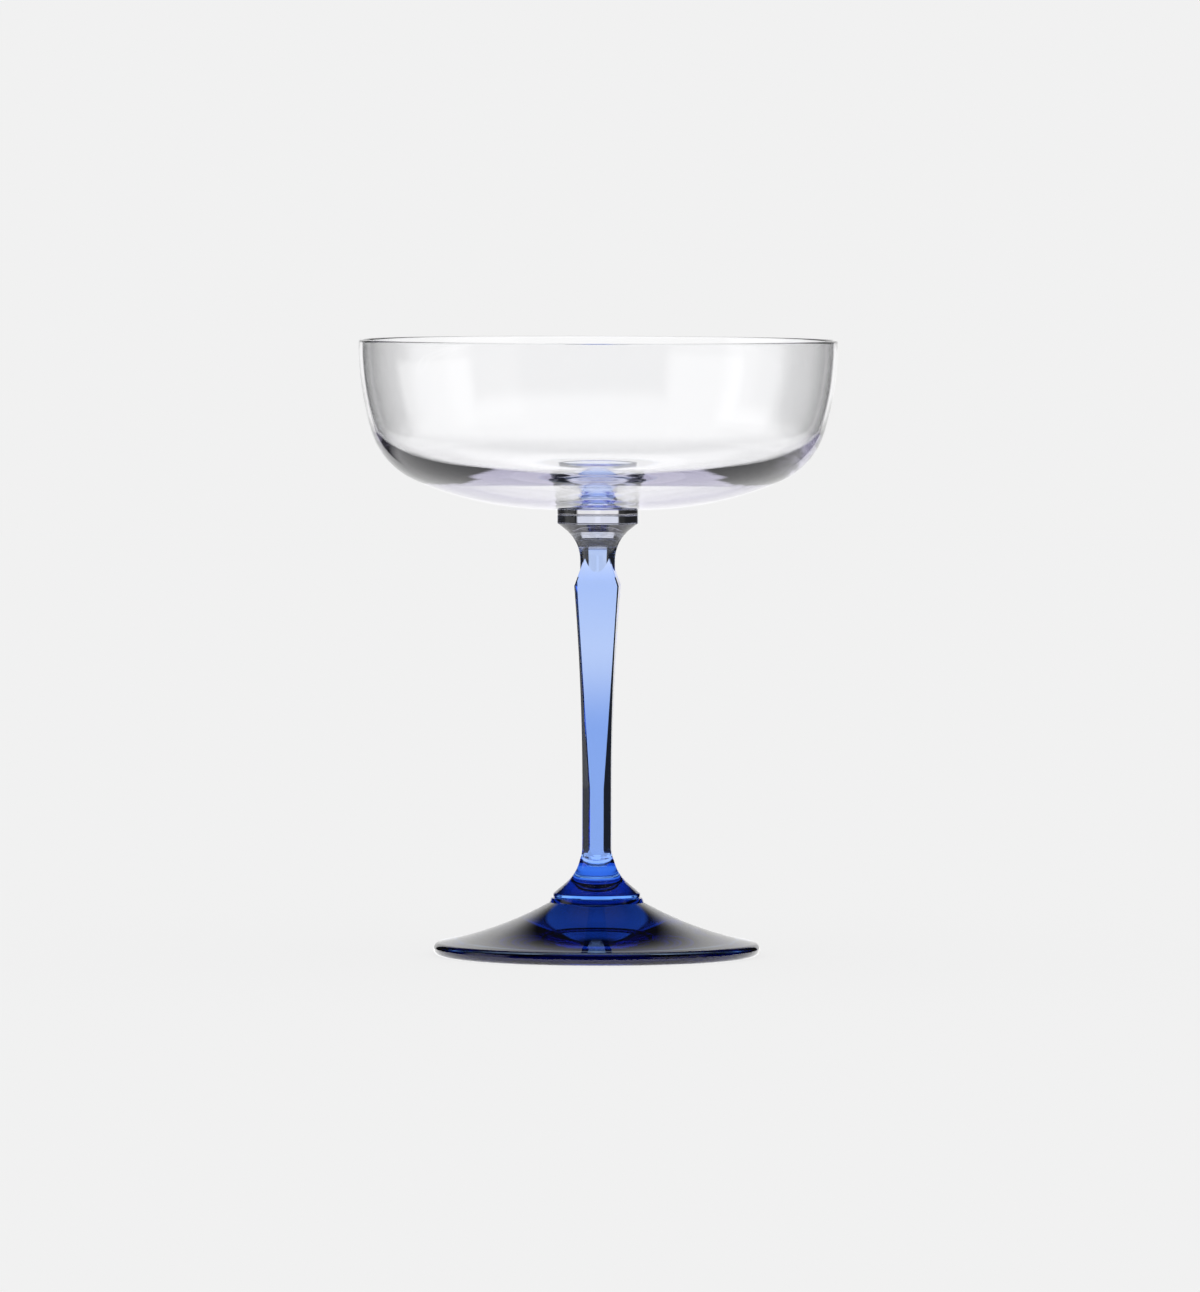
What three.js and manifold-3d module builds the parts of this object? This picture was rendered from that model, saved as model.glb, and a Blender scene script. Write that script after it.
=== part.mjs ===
// Champagne coupe: a clear bowl on a clear disc and trumpet, a blue faceted stem, and a blue conical foot.
// Millimetres, +Z up. The origin is the centre of the foot's underside, on the surface that the glass stands on.
// Each piece is one gather of glass. The pieces meet face to face at flat seams, where they are fused.

import * as THREE from 'three';
import { mergeVertices } from 'three/addons/utils/BufferGeometryUtils.js';
import Module from 'manifold-3d';

const DEGREES = Math.PI / 180;

// Heights of the pieces, stacked from the table up
const FOOT_HEIGHT = 12.7;
const STEM_BASE_HEIGHT = 8.9;
const STEM_LENGTH = 76.6;
const TRUMPET_HEIGHT = 5.45;
const MERESE_HEIGHT = 2.2;
const BOWL_HEIGHT = 41.95;

// Bowl: its outside is a flat bottom, then three arcs, each tangent to the next; the wall thins towards the rim
const RIM_RADIUS = 57.5;
const RIM_WALL = 1.2;
const BOTTOM_WALL = 3.2;
const BOTTOM_FLAT_RADIUS = 11.1;
const BOTTOM_ARC_RADIUS = 82;
const SHOULDER_ARC_RADIUS = 18.9;
const WALL_ARC_RADIUS = 75;
const PAD_HEIGHT = 1.35;

// Merese: the disc that the bowl's pad is joined to
const MERESE_RADIUS = 9.73;
const MERESE_FILLET = 0.2;

// Trumpet: a cone, then a hollow arc that runs on into the stem's neck
const TRUMPET_TOP_RADIUS = 9.5;
const TRUMPET_CONE_ANGLE = 52 * DEGREES;
const NECK_ARC_RADIUS = 9.6;
const NECK_RADIUS = 4.2;

// Stem: a square shoulder below the neck, then a shank of four broad facets and four corner facets
const SHOULDER_DROP = 9.35;
const SHOULDER_HALF_WIDTH = 5.34;
const SHOULDER_FACET_HALF_WIDTH = 5.0;
const ROOF_ANGLE = 19 * DEGREES;
const SHANK_HALF_WIDTH = 3.43;
const SHANK_FACET_HALF_WIDTH = 1.76;
const TAPER_START = 18.4;
const RUN_OUT_START = 4.3;
const RUN_OUT_RADIUS = 7.3;

// Stem base: the stem's flare, and below it a ring whose side has two beads with a groove between them
const FLARE_NECK_RADIUS = 3.87;
const FLARE_ARC_RADIUS = 10.3;
const FLARE_CONE_ANGLE = 50 * DEGREES;
const UPPER_BEAD_RADIUS = 10.45;
const UPPER_BEAD_FILLET = 0.45;
const RING_SIDE_HEIGHT = 1.95;
const RING_GROOVE_DEPTH = 0.28;
const RING_GROOVE_HEIGHT = 0.4;
const LOWER_BEAD_HEIGHT = 1.05;
const LOWER_BEAD_TOP_RADIUS = 10.95;
const LOWER_BEAD_BOTTOM_RADIUS = 11.32;

// Foot: a hollow-sided cone with a rounded edge, standing on a flat rim round a shallow recess
const FOOT_RADIUS = 39.2;
const FOOT_ARC_RADIUS = 88;
const FOOT_EDGE_HEIGHT = 3.1;
const FOOT_EDGE_FILLET = 1.5;
const REST_RIM_WIDTH = 4.5;
const RECESS_DEPTH = 0.5;

// Fineness of the facets
const WIDE_SEGMENTS = 64;
const SLIM_SEGMENTS = 48;
const LONG_ARC_STEPS = 5;
const FILLET_STEPS = 4;
const SHANK_STEPS = 10;

// How far a cutting shape passes what it cuts
const CUT_MARGIN = 1;

const SAME_POINT = 1e-6;

const clearGlass = new THREE.MeshStandardMaterial({
  name: 'clear_glass',
  color: 0xe9ecf4,
  roughness: 0.04,
  metalness: 0,
  transparent: true,
  opacity: 0.35,
});

const blueGlass = new THREE.MeshStandardMaterial({
  name: 'blue_glass',
  color: 0x2c5bd4,
  roughness: 0.04,
  metalness: 0,
  transparent: true,
  opacity: 0.6,
});

// Profiles are (radius, height) points, from the axis below, up the outside and back to the axis above

function at(radius, height) {
  return new THREE.Vector2(radius, height);
}

function arc(centre, radiusAt, from, to, steps) {
  const points = [];
  for (let i = 0; i <= steps; i += 1) {
    const angle = from + ((to - from) * i) / steps;
    const radius = radiusAt(angle);
    points.push(at(centre.x + radius * Math.cos(angle), centre.y + radius * Math.sin(angle)));
  }
  return points;
}

function fillet(centre, radius, from, to) {
  return arc(centre, () => radius, from, to, FILLET_STEPS);
}

function angleFrom(centre, point) {
  return Math.atan2(point.y - centre.y, point.x - centre.x);
}

// The point at two given distances from two centres, on the right or left of the line from the first to the second
function circlesMeet(first, firstRadius, second, secondRadius, side) {
  const apart = first.distanceTo(second);
  const along = (firstRadius ** 2 - secondRadius ** 2 + apart ** 2) / (2 * apart);
  const across = Math.sqrt(firstRadius ** 2 - along ** 2);
  const direction = second.clone().sub(first).normalize();
  const right = at(direction.y, -direction.x);
  const sign = side === 'right' ? 1 : -1;
  return first.clone().addScaledVector(direction, along).addScaledVector(right, sign * across);
}

function revolve(profile, segments) {
  const distinct = profile.filter((point, i) => i === 0 || point.distanceTo(profile[i - 1]) > SAME_POINT);
  return new THREE.LatheGeometry(distinct, segments).rotateX(Math.PI / 2);
}

// A flare widens from a neck along a hollow arc, then along a cone to its mouth. Heights are from the neck's end.

function makeFlare(neckRadius, arcRadius, coneAngle, mouthRadius) {
  const arcHeight = arcRadius * Math.sin(coneAngle);
  const coneStart = neckRadius + arcRadius * (1 - Math.cos(coneAngle));
  const height = arcHeight + (mouthRadius - coneStart) / Math.tan(coneAngle);
  return { neckRadius, arcRadius, coneAngle, arcHeight, coneStart, height };
}

function flareRadius(flare, height) {
  if (height > flare.arcHeight) {
    return flare.coneStart + (height - flare.arcHeight) * Math.tan(flare.coneAngle);
  }
  const onArc = Math.max(height, 0);
  return flare.neckRadius + flare.arcRadius - Math.sqrt(flare.arcRadius ** 2 - onArc ** 2);
}

function flareOutline(flare, low, high) {
  const heights = [low];
  for (let i = 0; i <= LONG_ARC_STEPS; i += 1) {
    const height = flare.arcRadius * Math.sin((flare.coneAngle * i) / LONG_ARC_STEPS);
    if (height > low && height < high) heights.push(height);
  }
  heights.push(high);
  return heights.map((height) => at(flareRadius(flare, height), height));
}

const trumpetFlare = makeFlare(NECK_RADIUS, NECK_ARC_RADIUS, TRUMPET_CONE_ANGLE, TRUMPET_TOP_RADIUS);
const neckJoint = trumpetFlare.height - TRUMPET_HEIGHT;

const baseMouthRadius = UPPER_BEAD_RADIUS - UPPER_BEAD_FILLET * (1 - Math.cos(FLARE_CONE_ANGLE));
const baseMouthHeight = RING_SIDE_HEIGHT + UPPER_BEAD_FILLET * Math.sin(FLARE_CONE_ANGLE);
const baseFlare = makeFlare(FLARE_NECK_RADIUS, FLARE_ARC_RADIUS, FLARE_CONE_ANGLE, baseMouthRadius);
const baseJoint = baseMouthHeight + baseFlare.height - STEM_BASE_HEIGHT;

// Bowl: pad, outside, rounded rim, and the inside at the wall's thickness from the outside

function wallAt(angle) {
  return RIM_WALL + (BOTTOM_WALL - RIM_WALL) * Math.sin(angle) ** 2;
}

function bowlArcs() {
  const rim = at(RIM_RADIUS - WALL_ARC_RADIUS, BOWL_HEIGHT - RIM_WALL / 2);
  const bottom = at(BOTTOM_FLAT_RADIUS, PAD_HEIGHT + BOTTOM_ARC_RADIUS);
  const toRim = WALL_ARC_RADIUS - SHOULDER_ARC_RADIUS;
  const toBottom = BOTTOM_ARC_RADIUS - SHOULDER_ARC_RADIUS;
  const shoulder = circlesMeet(rim, toRim, bottom, toBottom, 'right');
  const low = angleFrom(bottom, shoulder);
  const high = angleFrom(rim, shoulder);
  return [
    { centre: bottom, radius: BOTTOM_ARC_RADIUS, from: -Math.PI / 2, to: low },
    { centre: shoulder, radius: SHOULDER_ARC_RADIUS, from: low, to: high },
    { centre: rim, radius: WALL_ARC_RADIUS, from: high, to: 0 },
  ];
}

function bowlGeometry() {
  const outside = [];
  const inside = [];
  for (const { centre, radius, from, to } of bowlArcs()) {
    outside.push(...arc(centre, () => radius, from, to, LONG_ARC_STEPS));
    inside.push(...arc(centre, (angle) => radius - wallAt(angle), from, to, LONG_ARC_STEPS));
  }
  const lipCentre = at(RIM_RADIUS - RIM_WALL / 2, BOWL_HEIGHT - RIM_WALL / 2);
  const profile = [
    at(0, 0),
    ...fillet(at(MERESE_RADIUS - MERESE_FILLET, MERESE_FILLET), MERESE_FILLET, -Math.PI / 2, 0),
    at(MERESE_RADIUS, PAD_HEIGHT),
    ...outside,
    ...fillet(lipCentre, RIM_WALL / 2, 0, Math.PI),
    ...inside.reverse(),
    at(0, PAD_HEIGHT + BOTTOM_WALL),
  ];
  return revolve(profile, WIDE_SEGMENTS);
}

function mereseGeometry() {
  const inset = MERESE_RADIUS - MERESE_FILLET;
  const profile = [
    at(0, 0),
    ...fillet(at(inset, MERESE_FILLET), MERESE_FILLET, -Math.PI / 2, 0),
    ...fillet(at(inset, MERESE_HEIGHT - MERESE_FILLET), MERESE_FILLET, 0, Math.PI / 2),
    at(0, MERESE_HEIGHT),
  ];
  return revolve(profile, SLIM_SEGMENTS);
}

function trumpetGeometry() {
  const side = flareOutline(trumpetFlare, neckJoint, trumpetFlare.height);
  const profile = [at(0, 0), ...side.map((point) => at(point.x, point.y - neckJoint)), at(0, TRUMPET_HEIGHT)];
  return revolve(profile, SLIM_SEGMENTS);
}

// Stem: a faceted shank, cut from a round blank that flares at its foot, and a round neck that grows from its shoulder

const shoulderHeight = STEM_LENGTH - SHOULDER_DROP;

// Half the width of the broad facets' square, and half the width of a broad facet, at a height
function shankSection(height) {
  if (height > shoulderHeight) {
    const share = 1 - ((height - shoulderHeight) * Math.tan(ROOF_ANGLE)) / SHOULDER_HALF_WIDTH;
    return { half: SHOULDER_HALF_WIDTH * share, facet: SHOULDER_FACET_HALF_WIDTH * share };
  }
  const rise = Math.max((height - TAPER_START) / (shoulderHeight - TAPER_START), 0);
  const below = Math.min(Math.max(RUN_OUT_START - height, 0), RUN_OUT_RADIUS);
  const runOut = RUN_OUT_RADIUS - Math.sqrt(RUN_OUT_RADIUS ** 2 - below ** 2);
  const half = SHANK_HALF_WIDTH + (SHOULDER_HALF_WIDTH - SHANK_HALF_WIDTH) * rise ** 2;
  const facet = SHANK_FACET_HALF_WIDTH + (SHOULDER_FACET_HALF_WIDTH - SHANK_FACET_HALF_WIDTH) * rise;
  return { half: half + runOut, facet: facet + runOut * (Math.SQRT2 - 1) };
}

function shankHeights() {
  const heights = [];
  const bottom = -CUT_MARGIN;
  for (let i = 0; i < LONG_ARC_STEPS; i += 1) {
    heights.push(bottom + ((RUN_OUT_START - bottom) * i) / LONG_ARC_STEPS);
  }
  heights.push(RUN_OUT_START);
  for (let i = 0; i <= SHANK_STEPS; i += 1) {
    heights.push(TAPER_START + ((shoulderHeight - TAPER_START) * i) / SHANK_STEPS);
  }
  const roofTop = (SHOULDER_HALF_WIDTH - NECK_RADIUS / 2) / Math.tan(ROOF_ANGLE);
  heights.push(shoulderHeight + roofTop);
  return heights;
}

function shankLoft() {
  const sides = 8;
  const positions = [];
  const index = [];
  const heights = shankHeights();
  for (const height of heights) {
    const { half, facet } = shankSection(height);
    for (let quarter = 0; quarter < 4; quarter += 1) {
      const turn = (quarter * Math.PI) / 2;
      for (const across of [-facet, facet]) {
        const corner = at(half, across).rotateAround(at(0, 0), turn);
        positions.push(corner.x, corner.y, height);
      }
    }
  }
  for (let row = 0; row + 1 < heights.length; row += 1) {
    for (let side = 0; side < sides; side += 1) {
      const a = row * sides + side;
      const b = row * sides + ((side + 1) % sides);
      index.push(a, b, b + sides, a, b + sides, a + sides);
    }
  }
  const top = (heights.length - 1) * sides;
  for (let side = 1; side + 1 < sides; side += 1) {
    index.push(0, side + 1, side, top, top + side, top + side + 1);
  }
  const loft = new THREE.BufferGeometry();
  loft.setAttribute('position', new THREE.Float32BufferAttribute(positions, 3));
  loft.setIndex(index);
  return loft;
}

function shankBlank() {
  const flare = flareOutline(baseFlare, 0, baseJoint).map((point) => at(point.x, baseJoint - point.y));
  const widest = SHOULDER_HALF_WIDTH * Math.SQRT2 + CUT_MARGIN;
  const profile = [at(0, 0), ...flare.reverse(), at(widest, STEM_LENGTH), at(0, STEM_LENGTH)];
  return revolve(profile, SLIM_SEGMENTS);
}

function neckBlank() {
  const neckEnd = STEM_LENGTH - neckJoint;
  const side = flareOutline(trumpetFlare, 0, neckJoint).map((point) => at(point.x, point.y + neckEnd));
  const inShoulder = shoulderHeight - CUT_MARGIN;
  const profile = [at(0, inShoulder), at(NECK_RADIUS, inShoulder), ...side, at(0, STEM_LENGTH)];
  return revolve(profile, SLIM_SEGMENTS);
}

const wasm = await Module();
wasm.setup();

function toSolid(geometry) {
  const bare = geometry.clone();
  bare.deleteAttribute('normal');
  bare.deleteAttribute('uv');
  const merged = mergeVertices(bare);
  const corners = merged.getIndex().array;
  const triangles = [];
  for (let i = 0; i < corners.length; i += 3) {
    const [a, b, c] = corners.subarray(i, i + 3);
    if (a !== b && b !== c && c !== a) triangles.push(a, b, c);
  }
  const vertProperties = new Float32Array(merged.getAttribute('position').array);
  return new wasm.Manifold(new wasm.Mesh({ numProp: 3, vertProperties, triVerts: new Uint32Array(triangles) }));
}

function toGeometry(solid) {
  const mesh = solid.getMesh();
  const geometry = new THREE.BufferGeometry();
  geometry.setAttribute('position', new THREE.Float32BufferAttribute(mesh.vertProperties, 3));
  geometry.setIndex(new THREE.Uint32BufferAttribute(mesh.triVerts, 1));
  geometry.computeVertexNormals();
  return geometry;
}

function stemGeometry() {
  const shank = toSolid(shankLoft()).intersect(toSolid(shankBlank()));
  return toGeometry(shank.add(toSolid(neckBlank())));
}

function stemBaseGeometry() {
  const grooveTop = LOWER_BEAD_HEIGHT + RING_GROOVE_HEIGHT;
  const grooveRadius = UPPER_BEAD_RADIUS - RING_GROOVE_DEPTH;
  const corner = at(UPPER_BEAD_RADIUS - UPPER_BEAD_FILLET, RING_SIDE_HEIGHT);
  const neckEnd = STEM_BASE_HEIGHT + baseJoint;
  const flare = flareOutline(baseFlare, baseJoint, baseFlare.height).map((point) => at(point.x, neckEnd - point.y));
  const profile = [
    at(0, 0),
    at(LOWER_BEAD_BOTTOM_RADIUS, 0),
    at(LOWER_BEAD_TOP_RADIUS, LOWER_BEAD_HEIGHT),
    at(grooveRadius, (LOWER_BEAD_HEIGHT + grooveTop) / 2),
    at(UPPER_BEAD_RADIUS, grooveTop),
    ...fillet(corner, UPPER_BEAD_FILLET, 0, FLARE_CONE_ANGLE),
    ...flare.reverse(),
    at(0, STEM_BASE_HEIGHT),
  ];
  return revolve(profile, SLIM_SEGMENTS);
}

function footGeometry() {
  const edgeRadius = FOOT_RADIUS - FOOT_EDGE_FILLET;
  const lowEdge = at(edgeRadius, FOOT_EDGE_FILLET);
  const highEdge = at(edgeRadius, FOOT_EDGE_HEIGHT - FOOT_EDGE_FILLET);
  const top = at(LOWER_BEAD_BOTTOM_RADIUS, FOOT_HEIGHT);
  const coneCentre = circlesMeet(top, FOOT_ARC_RADIUS, highEdge, FOOT_ARC_RADIUS + FOOT_EDGE_FILLET, 'left');
  const meetAngle = angleFrom(highEdge, coneCentre);
  const outer = angleFrom(coneCentre, highEdge);
  const inner = angleFrom(coneCentre, top);
  const restInner = edgeRadius - REST_RIM_WIDTH;
  const profile = [
    at(0, RECESS_DEPTH),
    at(restInner - RECESS_DEPTH, RECESS_DEPTH),
    at(restInner, 0),
    ...fillet(lowEdge, FOOT_EDGE_FILLET, -Math.PI / 2, 0),
    ...fillet(highEdge, FOOT_EDGE_FILLET, 0, meetAngle),
    ...arc(coneCentre, () => FOOT_ARC_RADIUS, outer, inner, LONG_ARC_STEPS),
    at(0, FOOT_HEIGHT),
  ];
  return revolve(profile, WIDE_SEGMENTS);
}

// The glass, from the table up

const glass = new THREE.Group();
const pieces = [
  { name: 'foot', geometry: footGeometry(), material: blueGlass, height: FOOT_HEIGHT },
  { name: 'stem_base', geometry: stemBaseGeometry(), material: blueGlass, height: STEM_BASE_HEIGHT },
  { name: 'stem', geometry: stemGeometry(), material: blueGlass, height: STEM_LENGTH },
  { name: 'trumpet', geometry: trumpetGeometry(), material: clearGlass, height: TRUMPET_HEIGHT },
  { name: 'merese', geometry: mereseGeometry(), material: clearGlass, height: MERESE_HEIGHT },
  { name: 'bowl', geometry: bowlGeometry(), material: clearGlass, height: BOWL_HEIGHT },
];

let seam = 0;
for (const { name, geometry, material, height } of pieces) {
  const mesh = new THREE.Mesh(geometry, material);
  mesh.name = name;
  mesh.position.z = seam;
  glass.add(mesh);
  seam += height;
}

export default glass;
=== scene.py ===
"""Champagne coupe: the looks of the glass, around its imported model.

Each gather of glass is modelled again as a smooth closed mesh in the place of its solid, with a
glass that bends and tints light. Where two gathers are fused, the faces of the seam bend no light,
so the joint is as clear as a real one. Lengths are in metres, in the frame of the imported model:
+Z up, with the origin under the middle of the foot.
"""

import math
from typing import NamedTuple

import bpy
from bpy.props import FloatProperty, FloatVectorProperty, PointerProperty
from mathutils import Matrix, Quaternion, Vector


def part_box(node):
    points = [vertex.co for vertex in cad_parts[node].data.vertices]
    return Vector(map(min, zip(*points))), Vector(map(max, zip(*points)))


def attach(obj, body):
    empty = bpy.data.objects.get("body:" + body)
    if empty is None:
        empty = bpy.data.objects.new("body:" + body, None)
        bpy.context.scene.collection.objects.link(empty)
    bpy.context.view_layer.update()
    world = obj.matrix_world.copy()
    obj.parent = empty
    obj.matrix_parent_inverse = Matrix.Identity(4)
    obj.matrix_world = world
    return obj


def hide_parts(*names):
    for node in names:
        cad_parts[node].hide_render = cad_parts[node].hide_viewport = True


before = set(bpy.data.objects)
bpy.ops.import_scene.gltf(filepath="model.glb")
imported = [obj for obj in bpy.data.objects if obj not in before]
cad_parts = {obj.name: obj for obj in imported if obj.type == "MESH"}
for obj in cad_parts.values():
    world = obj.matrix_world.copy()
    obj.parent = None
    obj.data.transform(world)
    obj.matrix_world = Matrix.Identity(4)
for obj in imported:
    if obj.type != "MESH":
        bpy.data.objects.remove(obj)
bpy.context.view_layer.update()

bl_info = {
    "name": "Champagne Coupe",
    "version": (1, 0, 0),
    "blender": (4, 5, 0),
    "location": "View3D > Sidebar > Coupe",
    "description": "Models a champagne coupe with a clear bowl, a blue faceted stem and a blue foot",
    "category": "Add Mesh",
}

MM = 0.001
BODY = "root"

# Seams: how far each face is drawn back, how near a face lies to its seam, and the mark on its faces
SEAM_GAP = 0.01 * MM
SEAM_REACH = 2 * SEAM_GAP
SEAM = "seam"

# Points closer than this are one, and a face whose normal is this upright is level
SAME_POINT = 1e-4 * MM
UPRIGHT = 0.999

# Fineness of the meshes
ARC_STEP = math.radians(2.5)
WIDE_STEPS = 224
SLIM_STEPS = 144
RUN_OUT_ROWS = 8
SHANK_ROWS = 28
SMOOTH_ANGLE = math.radians(14)

# The eight-sided bar that the shank is shaped from, and half its side as a share of its half width
FACETS = 8
HALF_FACET = math.pi / FACETS
FACET_SHARE = math.tan(HALF_FACET)
BAR_HALF = 1.0 * MM

# How far a cutter reaches past what it cuts
CUT_MARGIN = 1.0 * MM

# The glass: its smears and slow waves, and the haze that a smear holds
SMEARS = {"Scale": 45.0, "Detail": 5.0, "Roughness": 0.6, "Distortion": 0.8}
SMEAR_START = 0.45
SMEAR_FULL = 0.75
WAVES = {"Scale": 70.0, "Detail": 1.0, "Roughness": 0.4}
WHITE = (1.0, 1.0, 1.0, 1.0)
HAZE = (0.985, 0.988, 0.994, 1.0)

# Shares of the trumpet's height at which its glass is darkest and clear
TRUMPET_DARK = 0.25
TRUMPET_CLEAR = 0.75

# How often light may be turned inside the glass, which guides it along the walls
LIGHT_BOUNCES = 64

# Camera and floor
SENSOR_WIDTH = 36.0
FLOOR_RADIUS = 3.0
FLOOR_SIDES = 128
FLOOR_DROP = 0.05 * MM
# Softness of the edges of the painted glow and painted shadow on the floor
PAINTED_GLOW_SOFT = 3.0 * MM


class Light(NamedTuple):
    """A bright patch of the room: its sides, its top and the softness of each, in degrees."""

    left: float
    right: float
    side_soft: float
    top: float
    top_soft: float


# The lights of the room, round the glass from straight behind it, and up from its horizon
WINDOW = Light(left=-21.5, right=21.5, side_soft=1.5, top=27.0, top_soft=9.0)
WINDOW_CORE = Light(left=-4.0, right=4.0, side_soft=2.0, top=10.0, top_soft=4.0)
LEFT_BOX = Light(left=-115.0, right=-66.0, side_soft=4.0, top=-4.5, top_soft=2.0)
LEFT_TOP = Light(left=-112.0, right=-74.0, side_soft=6.0, top=28.0, top_soft=3.0)
RIGHT_BOX = Light(left=104.0, right=146.0, side_soft=4.0, top=-3.5, top_soft=2.0)
RIGHT_TOP = Light(left=97.0, right=140.0, side_soft=6.0, top=28.0, top_soft=3.0)
TABLE_EDGE = -19.0
TABLE_SOFT = 4.0
CEILING_EDGE = 50.0
CEILING_SOFT = 10.0


# Settings


def length(name, description, default):
    """A length property in metres, written in millimetres."""
    return FloatProperty(
        name=name, description=description, default=default * MM, unit="LENGTH", precision=5
    )


def angle(name, description, default):
    """An angle property, written in degrees."""
    return FloatProperty(
        name=name, description=description, default=math.radians(default), subtype="ANGLE"
    )


def colour(name, description, default):
    """A linear colour property."""
    return FloatVectorProperty(
        name=name, description=description, default=default, subtype="COLOR", size=3, min=0.0, max=1.0
    )


def level(name, description, default):
    """A plain number property."""
    return FloatProperty(name=name, description=description, default=default)


class CoupeBowl(bpy.types.PropertyGroup):
    """Sizes of the bowl"""

    rim_wall: length("Rim wall", "Thickness of the wall at the rim", 1.2)
    bottom_wall: length("Bottom wall", "Thickness of the glass at the bottom", 3.2)
    bottom_flat: length("Bottom flat", "Radius of the flat under the bowl", 11.1)
    bottom_arc: length("Bottom arc", "Radius of the curve from the flat to the shoulder", 82)
    shoulder_arc: length("Shoulder arc", "Radius of the curve from the bottom to the wall", 18.9)
    wall_arc: length("Wall arc", "Radius of the curve from the shoulder to the rim", 75)
    pad_height: length("Pad height", "Height of the pad on which the bowl is joined", 1.35)


class CoupeStem(bpy.types.PropertyGroup):
    """Sizes of the disc, trumpet, stem and stem base"""

    merese_fillet: length("Disc edge", "Radius of the disc's rounded edges", 0.2)
    trumpet_angle: angle("Trumpet angle", "Half angle of the trumpet's cone", 52)
    neck_arc: length("Neck arc", "Radius of the hollow curve from the trumpet to the neck", 9.6)
    neck_radius: length("Neck", "Radius of the round neck", 4.2)
    shoulder_drop: length("Shoulder drop", "How far the square shoulder lies below the stem's top", 9.35)
    shoulder_half: length("Shoulder half width", "Half the width across the shoulder's flats", 5.34)
    shoulder_facet: length("Shoulder facet", "Half the width of a broad facet at the shoulder", 5.0)
    roof_angle: angle("Roof angle", "Lean of the facets above the shoulder", 19)
    shank_half: length("Shank half width", "Half the width across the flats at the foot of the shank", 3.43)
    shank_facet: length("Shank facet", "Half the width of a broad facet at the foot of the shank", 1.76)
    taper_start: length("Taper start", "Height above the stem's foot at which the shank widens", 18.4)
    run_out_start: length("Run-out start", "Height above the stem's foot at which the facets run out", 4.3)
    run_out_arc: length("Run-out arc", "Radius of the curve on which the facets run out", 7.3)
    flare_neck: length("Flare neck", "Radius of the flare where it leaves the shank", 3.87)
    flare_arc: length("Flare arc", "Radius of the flare's hollow curve", 10.3)
    flare_angle: angle("Flare angle", "Half angle of the flare's cone", 50)
    upper_bead: length("Upper bead", "Radius of the ring's upper bead", 10.45)
    bead_fillet: length("Bead edge", "Radius of the upper bead's rounded edge", 0.45)
    ring_side: length("Ring side", "Height of the ring's side", 1.95)
    groove_depth: length("Groove depth", "Depth of the groove between the beads", 0.28)
    groove_height: length("Groove height", "Height of the groove between the beads", 0.4)
    lower_bead: length("Lower bead", "Radius of the ring's lower bead at its top", 10.95)
    lower_bead_height: length("Lower bead height", "Height of the ring's lower bead", 1.05)


class CoupeFoot(bpy.types.PropertyGroup):
    """Sizes of the foot"""

    cone_arc: length("Cone arc", "Radius of the foot's hollow upper side", 88)
    edge_height: length("Edge height", "Thickness of the foot's edge", 3.1)
    edge_fillet: length("Edge fillet", "Radius of the foot's rounded edge", 1.5)
    rest_width: length("Rest width", "Width of the flat rim that the glass stands on", 4.5)
    recess: length("Recess", "Depth of the hollow inside the rim", 0.5)


class CoupeGlass(bpy.types.PropertyGroup):
    """Colours of the glass"""

    index: level("Index", "Index of refraction of the glass", 1.5)
    smear: level("Smear", "Roughness of the glass where it has been handled", 0.02)
    wave: length("Wave", "Height of the slow waves in the surface", 0.02)
    clear_colour: colour("Clear colour", "What the clear glass lets through", (0.45, 0.41, 0.64))
    clear_density: level("Clear density", "How strongly it takes up light, for each metre", 10.0)
    collar_colour: colour("Collar colour", "What the disc and trumpet let through", (0.125, 0.25, 0.75))
    collar_density: level("Collar density", "How strongly they take up light, for each metre", 16.0)
    trumpet_deep: colour("Trumpet depth", "What the trumpet lets through at the neck", (0.5, 0.53, 0.64))
    stem_colour: colour("Stem colour", "What the stem's glass lets through", (0.078, 0.4, 0.967))
    stem_density: level("Stem density", "How strongly the stem takes up light, for each metre", 90.0)
    stem_deep: colour("Stem depth", "What the lower stem lets through besides", (0.44, 0.59, 0.89))
    deep_low: length("Depth low", "Height at which the stem is deepest in colour", 53)
    deep_high: length("Depth high", "Height at which the stem is lightest in colour", 76)
    flare_colour: colour("Flare colour", "What the stem base lets through", (0.083, 0.5, 0.95))
    flare_density: level("Flare density", "How strongly the base takes up light, for each metre", 120.0)
    foot_colour: colour("Foot colour", "What the foot's glass lets through", (0.067, 0.387, 0.747))
    foot_density: level("Foot density", "How strongly the foot takes up light, for each metre", 150.0)


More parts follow.
